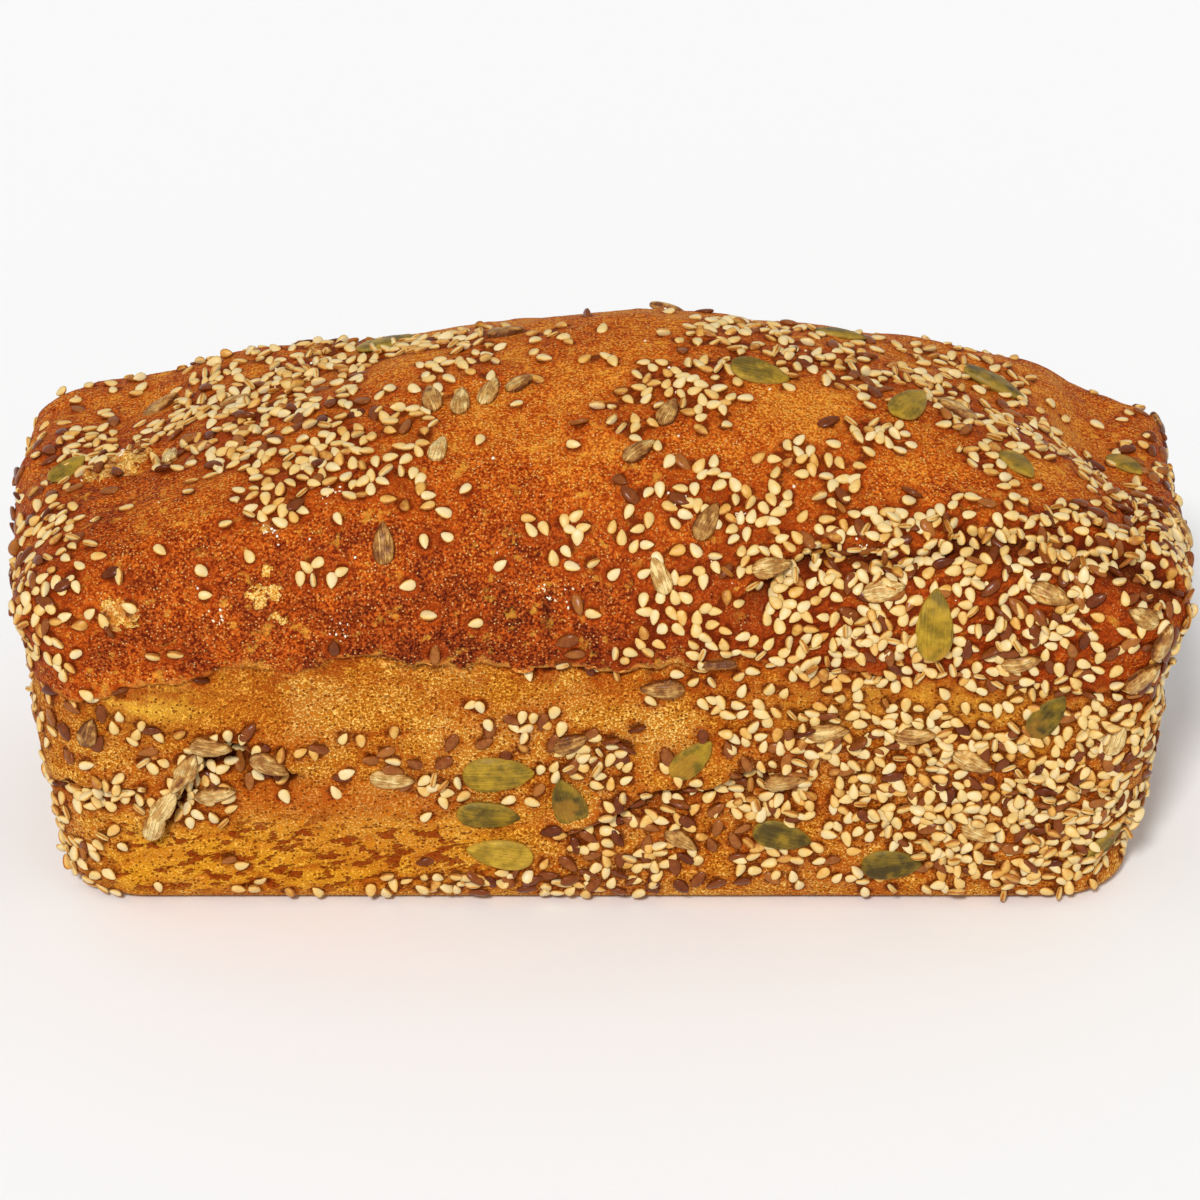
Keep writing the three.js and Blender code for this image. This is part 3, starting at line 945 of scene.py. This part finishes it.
def crust_spots(cover_of, spacing, tries, draws):
    """Random places on the bare crust, closer where the cover is greater, no nearer than spacing."""
    mesh = crust.data
    count = len(mesh.polygons)
    middles, areas = np.empty(count * 3), np.empty(count)
    mesh.polygons.foreach_get("center", middles)
    mesh.polygons.foreach_get("area", areas)
    middles = middles.reshape(-1, 3) / MM
    cover = cover_of(middles) * ramp(middles[:, 2], 2.0, 4.0)
    for middle, heading, length, width in frame_seeds:
        off = middles - np.array(middle) / MM
        along = off @ np.array(heading)
        across = np.linalg.norm(off - np.outer(along, heading), axis=1)
        cover[(2 * along / length) ** 2 + (2 * across / width) ** 2 < 1.1] = 0
    chosen = draws.choice(count, tries, p=areas / areas.sum())
    chosen = chosen[draws.random(tries) < cover[chosen]]
    places = middles[chosen] + draws.uniform(-0.5, 0.5, (len(chosen), 3))
    return [Vector(places[number] * MM) for number in spaced_out(places, spacing)]


def seed_lies(spots, sink, lean, on_edge, draws):
    """Turns each spot into a lie: any heading, a lean, and a share of them up on their edge."""
    lies = []
    for spot in spots:
        heading = Vector(draws.normal(size=3))
        depth = draws.uniform(*sink)
        roll = draws.normal(0, lean)
        if draws.random() < on_edge:
            roll = draws.choice((-1, 1)) * draws.uniform(0.8, 1.4)
            depth -= 0.5
        tilt = Matrix.Rotation(draws.normal(0, lean), 4, "Y") @ Matrix.Rotation(roll, 4, "X")
        size = draws.uniform(0.86, 1.10)
        shape = Matrix.Diagonal((size, size * draws.uniform(0.90, 1.08), size, 1))
        lies.append(set_on_crust(spot, heading, depth) @ tilt @ shape)
    return lies


def spare_cover(points):
    """Spare kernels lie mostly over the back."""
    return (0.1 + ramp(points[:, 1], 10, 40)) * ramp(points[:, 2], 12, 16)


kernel_draws = np.random.default_rng(3)
kernel_look = kernel_material()
frame_tones = kernel_draws.uniform(0.25, 0.90, 99)
lay_frame_seeds("sunflower_kernel", kernel_look, SUNFLOWER, SUNFLOWER_SINK, frame_tones)
kernel_lies = []
for along, up, turn in FOLD_KERNELS:
    angle = math.radians(turn)
    heading = Vector((math.cos(angle), 0, math.sin(angle)))
    before_wall = Vector((along, -HALF_WIDTH - 4, up)) * MM
    kernel_lies.append(set_on_crust(before_wall, heading, FOLD_KERNEL_SINK))
spare_spots = crust_spots(spare_cover, SPARE_SPACING, 400, kernel_draws)[:SPARE_KERNELS]
kernel_lies += seed_lies(spare_spots, (-0.6, -0.2), lean=0.12, on_edge=0.0, draws=kernel_draws)
kernel = seed_mesh("kernel", 7, **SUNFLOWER)
kernel_tones = kernel_draws.uniform(0.35, 0.90, len(kernel_lies))
strewn("sunflower_kernels_strewn", kernel, kernel_lies, kernel_tones, kernel_look)
bpy.data.meshes.remove(kernel)

# The sesame seeds: small, hulled, cream to toasted gold, drop-shaped. They are
# strewn on the wet dough and in the tin, so they lie in drifts that the loaf's
# rise pulled apart, and heap up in the folds.
SESAME = {
    "length": 3.4, "width": 2.2, "thickness": 1.15, "tip": 0.36, "flatness": 0.6, "rings": (10, 6),
}
BEDDED_SPACING, BEDDED_TRIES, BEDDED_SINK = 2.05, 80000, (-0.40, 0.12)
HEAPED_SPACING, HEAPED_TRIES, HEAPED_SINK = 2.6, 40000, (-1.5, -0.8)
TOASTED_SHARE = 0.09
# Drifts: middle, reach each way, and share of the crust covered at the middle.
SESAME_DRIFTS = (
    # the front wall, from the right corner to the left
    ((90, -50, 22), (32, 16, 17), 1.6),
    ((52, -50, 30), (20, 16, 10), 1.2),
    ((96, -50, 46), (26, 16, 8), 1.0),
    ((52, -50, 48), (24, 16, 9), 0.9),
    ((74, -50, 58), (40, 16, 5), 0.6),
    ((28, -48, 28), (9, 14, 6), 0.8),
    ((8, -46, 16), (12, 14, 9), 0.9),
    ((40, -46, 12), (20, 14, 5), 0.4),
    ((-26, -46, 4), (28, 14, 5), 0.6),
    ((-2, -48, 37), (7, 14, 6), 0.9),
    ((-20, -50, 47), (9, 14, 4), 0.45),
    ((-36, -50, 31), (10, 14, 4), 0.25),
    ((-96, -48, 48), (12, 14, 4), 0.35),
    ((-84, -48, 34), (7, 14, 10), 1.0),
    ((-66, -48, 38), (8, 14, 4), 0.8),
    ((-102, -46, 30), (10, 16, 4), 0.9),
    ((-112, -40, 16), (10, 20, 14), 0.5),
    # the shoulder over the right half, and the corners above the rim
    ((76, -46, 86), (38, 14, 6.5), 1.7),
    ((46, -50, 78), (14, 14, 10), 1.2),
    ((86, -54, 74), (28, 12, 8), 0.8),
    ((56, -54, 66), (24, 12, 6), 0.8),
    ((16, -50, 72), (9, 12, 10), 0.55),
    ((-2, -46, 89), (14, 6, 4), 0.45),
    ((114, -34, 72), (12, 24, 14), 0.7),
    ((-112, -34, 72), (9, 24, 14), 0.65),
    ((-114, -24, 54), (9, 24, 14), 0.35),
    ((-54, -50, 83), (7, 8, 5), 0.15),
    # the crown
    ((-88, 8, 94), (14, 14, 12), 0.7),
    ((-72, -6, 99), (15, 12, 10), 0.8),
    ((-79, -19, 96), (10, 7, 8), 1.0),
    ((-54, -22, 99), (15, 10, 10), 0.9),
    ((-60, -37, 93), (11, 6, 8), 0.8),
    ((-42, -36, 95), (8, 6, 8), 0.35),
    ((-66, 14, 99), (16, 9, 10), 0.9),
    ((-70, 26, 95), (24, 8, 8), 0.7),
    ((-40, 20, 104), (16, 7, 6), 0.5),
    ((-106, 12, 88), (10, 16, 8), 0.6),
    ((-30, -4, 106), (8, 8, 6), 0.7),
    ((-22, 10, 108), (12, 9, 6), 0.45),
    ((19, -12, 107), (8, 7, 6), 1.2),
    ((36, 10, 107), (14, 12, 8), 1.0),
    ((9, -22, 104), (9, 7, 8), 0.5),
    ((52, 4, 105), (12, 9, 8), 0.6),
    ((58, -20, 101), (7, 7, 8), 0.9),
    ((44, -33, 98), (9, 5, 8), 0.9),
    ((26, -40, 94), (11, 6, 8), 0.9),
    ((70, 4, 101), (9, 9, 8), 0.8),
    ((84, -8, 97), (12, 10, 10), 1.0),
    ((98, -2, 93), (12, 12, 12), 0.6),
    ((80, -23, 96), (9, 5, 8), 0.5),
    ((112, -10, 86), (10, 14, 12), 0.45),
    ((84, 22, 96), (18, 9, 8), 0.5),
    # the back and the ends
    ((-60, 48, 76), (40, 16, 12), 0.6),
    ((36, 50, 78), (44, 14, 10), 0.8),
    ((-34, 48, 24), (50, 14, 14), 0.55),
    ((72, 50, 28), (36, 14, 18), 1.1),
    ((-92, 48, 40), (16, 16, 10), 0.6),
    ((118, 20, 40), (16, 26, 26), 0.7),
    ((118, -22, 22), (16, 20, 16), 1.0),
    ((-116, 18, 36), (16, 28, 24), 0.6),
)
# Bare places inside the drifts: middle and reach.
BARE_PLACES = (
    ((46, -14, 104), (9, 8, 8)),
    ((67, -31, 98), (8, 6, 6)),
    ((66, -52, 54.5), (28, 10, 3.6)),
    ((90, -50, 40), (6, 10, 3)),
    ((-20, -46, 20), (10, 10, 8)),
    ((106, -44, 20), (4, 10, 4)),
    ((-92, -50, 54), (10, 10, 6)),
    ((-60, -46, 16), (30, 10, 7)),
)
SCATTERED_SESAME = 0.012
# Seeds gather in clumps, with a few left between them and more than their share inside.
CLUMP_SIZE, BETWEEN_CLUMPS, IN_CLUMPS = (8, 8, 7), 0.12, 1.18
BARENESS = 0.95


def near_places(points, middle, reach):
    """1 in the middle of a place, falling to nothing a little past its reach."""
    distance = (points - np.array(middle)) / np.array(reach)
    return np.exp(-((distance**2).sum(axis=1) ** 1.5))


def drift_cover(points, drifts, scattered, clump_seed):
    """How much of the crust the seeds cover at each point, gathered into clumps."""
    cover = np.full(len(points), scattered)
    for middle, reach, amount in drifts:
        cover += amount * near_places(points, middle, reach)
    for middle, reach in BARE_PLACES:
        cover *= 1 - BARENESS * near_places(points, middle, reach)
    clump = ramp(grain_of(points, CLUMP_SIZE, clump_seed), -0.35, 0.35)
    return cover * (BETWEEN_CLUMPS + IN_CLUMPS * clump)


def sesame_cover(points):
    return drift_cover(points, SESAME_DRIFTS, SCATTERED_SESAME, 21)


def heaped_cover(points):
    """A second layer lies only where the first is thick, and not on the crown."""
    return 0.8 * ramp(sesame_cover(points), 0.7, 1.5) * (1 - ramp(points[:, 2], 88, 94))


def sesame_material():
    material, s, shader = new_material("sesame_seed")
    tone = s.attribute("tone")
    # The dark edge is partly painted shade round each seed.
    shade = s.effect(TOASTING, tone=tone, mottle_scale=620.0, mottle=0.24, edge=0.85)
    skin = s.ramp(
        shade,
        (0.00, (0.755, 0.600, 0.325)),
        (0.35, (0.730, 0.510, 0.180)),
        (0.70, (0.680, 0.350, 0.065)),
        (1.00, (0.360, 0.110, 0.009)),
    )
    s.finish(shader, skin, roughness=0.40, gloss=0.3, normal=s.bump(shade, 0.12 * MM))
    return material


sesame_draws = np.random.default_rng(11)
sesame = seed_mesh("sesame", **SESAME)
sesame_look = sesame_material()
bedded_spots = crust_spots(sesame_cover, BEDDED_SPACING, BEDDED_TRIES, sesame_draws)
heaped_spots = crust_spots(heaped_cover, HEAPED_SPACING, HEAPED_TRIES, sesame_draws)
sesame_lies = seed_lies(bedded_spots, BEDDED_SINK, lean=0.22, on_edge=0.10, draws=sesame_draws)
sesame_lies += seed_lies(heaped_spots, HEAPED_SINK, lean=0.35, on_edge=0.22, draws=sesame_draws)
sesame_lies.sort(key=lambda lie: lie.translation.y)
pale = sesame_draws.beta(1.5, 4.4, len(sesame_lies))
toasted = sesame_draws.uniform(0.5, 0.9, len(sesame_lies))
is_toasted = sesame_draws.random(len(sesame_lies)) < TOASTED_SHARE
sesame_tones = np.where(is_toasted, toasted, pale)
sesame_names = ("sesame_seeds_front", "sesame_seeds_crown", "sesame_seeds_back")
share = math.ceil(len(sesame_lies) / len(sesame_names))
for number, name in enumerate(sesame_names):
    part = slice(number * share, (number + 1) * share)
    strewn(name, sesame, sesame_lies[part], sesame_tones[part], sesame_look)
bpy.data.meshes.remove(sesame)

# The linseeds: flat and pointed, with a smooth, glossy, red-brown skin. They are
# strewn together with the sesame, and lie a little apart from each other.
LINSEED = {"length": 4.7, "width": 2.5, "thickness": 1.15, "tip": 0.26, "rings": (10, 7)}
LINSEED_SPACING, LINSEED_TRIES, LINSEED_SINK = 3.3, 24000, (-0.45, 0.10)
LINSEED_DRIFTS = (
    ((88, -50, 24), (34, 16, 18), 0.50),
    ((52, -50, 42), (30, 16, 10), 0.35),
    ((30, -48, 20), (24, 16, 12), 0.35),
    ((-20, -48, 44), (8, 14, 5), 1.2),
    ((0, -48, 42), (8, 14, 6), 0.9),
    ((-40, -48, 36), (12, 14, 5), 0.5),
    ((-80, -48, 48), (26, 14, 10), 0.10),
    ((-72, -48, 36), (12, 14, 6), 0.4),
    ((-106, -48, 46), (8, 14, 8), 0.4),
    ((-14, -46, 6), (34, 14, 6), 0.60),
    ((-4, -46, 20), (14, 14, 10), 0.5),
    ((84, -46, 84), (38, 16, 8), 0.85),
    ((90, -54, 68), (30, 12, 10), 0.5),
    ((114, -30, 70), (14, 30, 16), 0.5),
    ((-114, -20, 66), (14, 34, 20), 0.28),
    ((-72, -8, 98), (26, 20, 14), 0.16),
    ((70, 0, 100), (44, 20, 14), 0.10),
    ((0, 50, 50), (110, 14, 40), 0.16),
    ((120, 10, 40), (16, 40, 36), 0.30),
    ((-120, 10, 40), (16, 40, 36), 0.22),
)
SCATTERED_LINSEED = 0.004


def linseed_cover(points):
    return drift_cover(points, LINSEED_DRIFTS, SCATTERED_LINSEED, 33)


def linseed_material():
    material, s, shader = new_material("linseed")
    tone = s.attribute("tone")
    shade = s.effect(TOASTING, tone=tone, mottle_scale=800.0, mottle=0.25, edge=-0.30)
    skin = s.ramp(
        shade,
        (0.0, (0.095, 0.016, 0.003)),
        (0.5, (0.200, 0.048, 0.008)),
        (1.0, (0.380, 0.130, 0.022)),
    )
    s.finish(shader, skin, roughness=0.26, gloss=0.18, normal=s.bump(shade, 0.06 * MM))
    return material


linseed_draws = np.random.default_rng(29)
linseed = seed_mesh("linseed", **LINSEED)
linseed_spots = crust_spots(linseed_cover, LINSEED_SPACING, LINSEED_TRIES, linseed_draws)
linseed_lies = seed_lies(linseed_spots, LINSEED_SINK, lean=0.16, on_edge=0.10, draws=linseed_draws)
linseed_tones = linseed_draws.beta(2, 2, len(linseed_lies))
strewn("linseeds", linseed, linseed_lies, linseed_tones, linseed_material())
bpy.data.meshes.remove(linseed)

# The crumbs: specks of flour and flaked skin that stuck to the crown, in small
# loose clusters and a few on their own.
CRUMB_CLUSTERS = (
    (27, -43, 93), (-5, -53, 78), (-55, -37, 95), (-77, -53, 75), (16, -41, 95), (-11, -52, 79),
    (-53, -54, 72), (53, -46, 88), (-67, -43, 89), (-102, -2, 88), (20, 40, 96), (-50, 44, 88),
)
CRUMBS_IN_CLUSTER, CLUSTER_SPREAD = 9, 1.3
LONE_CRUMBS, LONE_SPACING = 50, 3.0
CRUMB_SIZE, CRUMB_SINK = 0.5, -0.1


def crumb_mesh():
    crumb = bmesh.new()
    bmesh.ops.create_icosphere(crumb, subdivisions=1, radius=CRUMB_SIZE / 2 * MM)
    for corner in crumb.verts:
        corner.co *= 1 + 0.5 * noise.noise(corner.co / (0.3 * MM))
    mesh = bpy.data.meshes.new("crumb")
    crumb.to_mesh(mesh)
    crumb.free()
    for value in ("along", "lane", "edge"):
        set_values(mesh, value, np.zeros(len(mesh.vertices)))
    return mesh


def crumb_material():
    material, s, shader = new_material("crumb")
    tone = s.attribute("tone")
    shade = s.effect(TOASTING, tone=tone, mottle_scale=2000.0, mottle=0.3, edge=0.0)
    flour, skin = (0.94, 0.88, 0.74), (0.74, 0.46, 0.16)
    s.set(shader["Base Color"], s.ramp(shade, (0.0, flour), (1.0, skin)))
    s.set(shader["Roughness"], 0.7)
    return material


def crown_cover(points):
    """Lone crumbs lie only on the crown."""
    return ramp(points[:, 2], 66, 80)


crumb_draws = np.random.default_rng(41)
crumb_spots = []
for cluster in CRUMB_CLUSTERS:
    offsets = crumb_draws.normal(0, CLUSTER_SPREAD, (CRUMBS_IN_CLUSTER, 3))
    crumb_spots += [Vector((np.array(cluster) + offset) * MM) for offset in offsets]
crumb_spots += crust_spots(crown_cover, LONE_SPACING, 400, crumb_draws)[:LONE_CRUMBS]
crumb_lies = []
for spot in crumb_spots:
    lie = set_on_crust(spot, Vector(crumb_draws.normal(size=3)), CRUMB_SINK)
    crumb_lies.append(lie @ Matrix.Diagonal((*crumb_draws.uniform(0.5, 1.7, 3), 1)))
crumb = crumb_mesh()
crumb_tones = crumb_draws.beta(1.2, 3, len(crumb_lies))
strewn("flour_and_crumbs", crumb, crumb_lies, crumb_tones, crumb_material())
bpy.data.meshes.remove(crumb)

# Round each seed the crust scorched redder, with painted contact shadow at the seed's edge, and where
# seeds lie close the dough between them stayed wet and baked dark red, deepened with painted shade:
# the crust is given both here.
FARTHEST_GAP = 8.0
CROWD_REACH = 5.0
seed_places = [lie.translation for lie in sesame_lies + linseed_lies + kernel_lies]
seed_tree = KDTree(len(seed_places))
for number, place in enumerate(seed_places):
    seed_tree.insert(place, number)
seed_tree.balance()
gaps = np.array([seed_tree.find(corner.co)[2] for corner in crust.data.vertices]) / MM
crowds = [len(seed_tree.find_range(corner.co, CROWD_REACH * MM)) for corner in crust.data.vertices]
set_values(crust.data, "seed_gap", np.minimum(gaps, FARTHEST_GAP))
set_values(crust.data, "crowd", ramp(np.array(crowds), 2.5, 8.0))

# The set: the loaf stands on a plain pale floor in soft studio light, with one lamp
# high in front, and the camera looks down on it through a long lens.
FLOOR_SIDE, FLOOR_PALENESS, FLOOR_ROUGHNESS = 4.0, 0.93, 0.9
floor_sheet = bmesh.new()
bmesh.ops.create_grid(floor_sheet, x_segments=1, y_segments=1, size=FLOOR_SIDE)
floor_mesh = bpy.data.meshes.new("floor")
floor_sheet.to_mesh(floor_mesh)
floor_sheet.free()
floor_material, floor_shading, floor_shader = new_material("floor")
floor_shading.set(floor_shader["Base Color"], (FLOOR_PALENESS,) * 3)
floor_shading.set(floor_shader["Roughness"], FLOOR_ROUGHNESS)
floor = add_piece("floor", floor_mesh, floor_material)

# The studio's walls look as pale as the floor, and light the loaf more softly.
WALL_PALENESS, WALL_LIGHT = 0.93, 0.55
world = bpy.data.worlds.new("studio")
world.use_nodes = True
studio, walls = Shading(world.node_tree), world.node_tree.nodes["Background"].inputs
seen = studio.put("ShaderNodeLightPath", {}).outputs["Is Camera Ray"]
wall_glow = studio.math("MULTIPLY_ADD", seen, WALL_PALENESS - WALL_LIGHT, WALL_LIGHT)
studio.set(walls["Color"], (1.0, 1.0, 1.0))
studio.set(walls["Strength"], wall_glow)
bpy.context.scene.world = world

LOAF_MIDDLE = Vector((0.0, 0.0, 0.05))
KEY_PLACE = Vector((-0.15, -0.79, 0.70))
KEY_POWER, KEY_SPREAD = 2.4, math.radians(9)
key = bpy.data.lights.new("key", "SUN")
key.energy = KEY_POWER
key.angle = KEY_SPREAD
key_lamp = bpy.data.objects.new("key", key)
key_lamp.location = KEY_PLACE
key_lamp.rotation_euler = (LOAF_MIDDLE - KEY_PLACE).to_track_quat("-Z", "Y").to_euler()
bpy.context.scene.collection.objects.link(key_lamp)

CAMERA_DISTANCE = 1.3
CAMERA_TILT = math.radians(28)
FILM_WIDTH, LENS_LENGTH = 36.0, 183.3
lens = bpy.data.cameras.new("camera")
lens.sensor_width = FILM_WIDTH
lens.lens = LENS_LENGTH
camera = bpy.data.objects.new("camera", lens)
back_and_up = Vector((0, -math.cos(CAMERA_TILT), math.sin(CAMERA_TILT)))
camera.location = LOAF_MIDDLE + CAMERA_DISTANCE * back_and_up
camera.rotation_euler = (math.pi / 2 - CAMERA_TILT, 0, 0)
bpy.context.scene.collection.objects.link(camera)
bpy.context.scene.camera = camera
bpy.context.scene.view_settings.view_transform = "Standard"
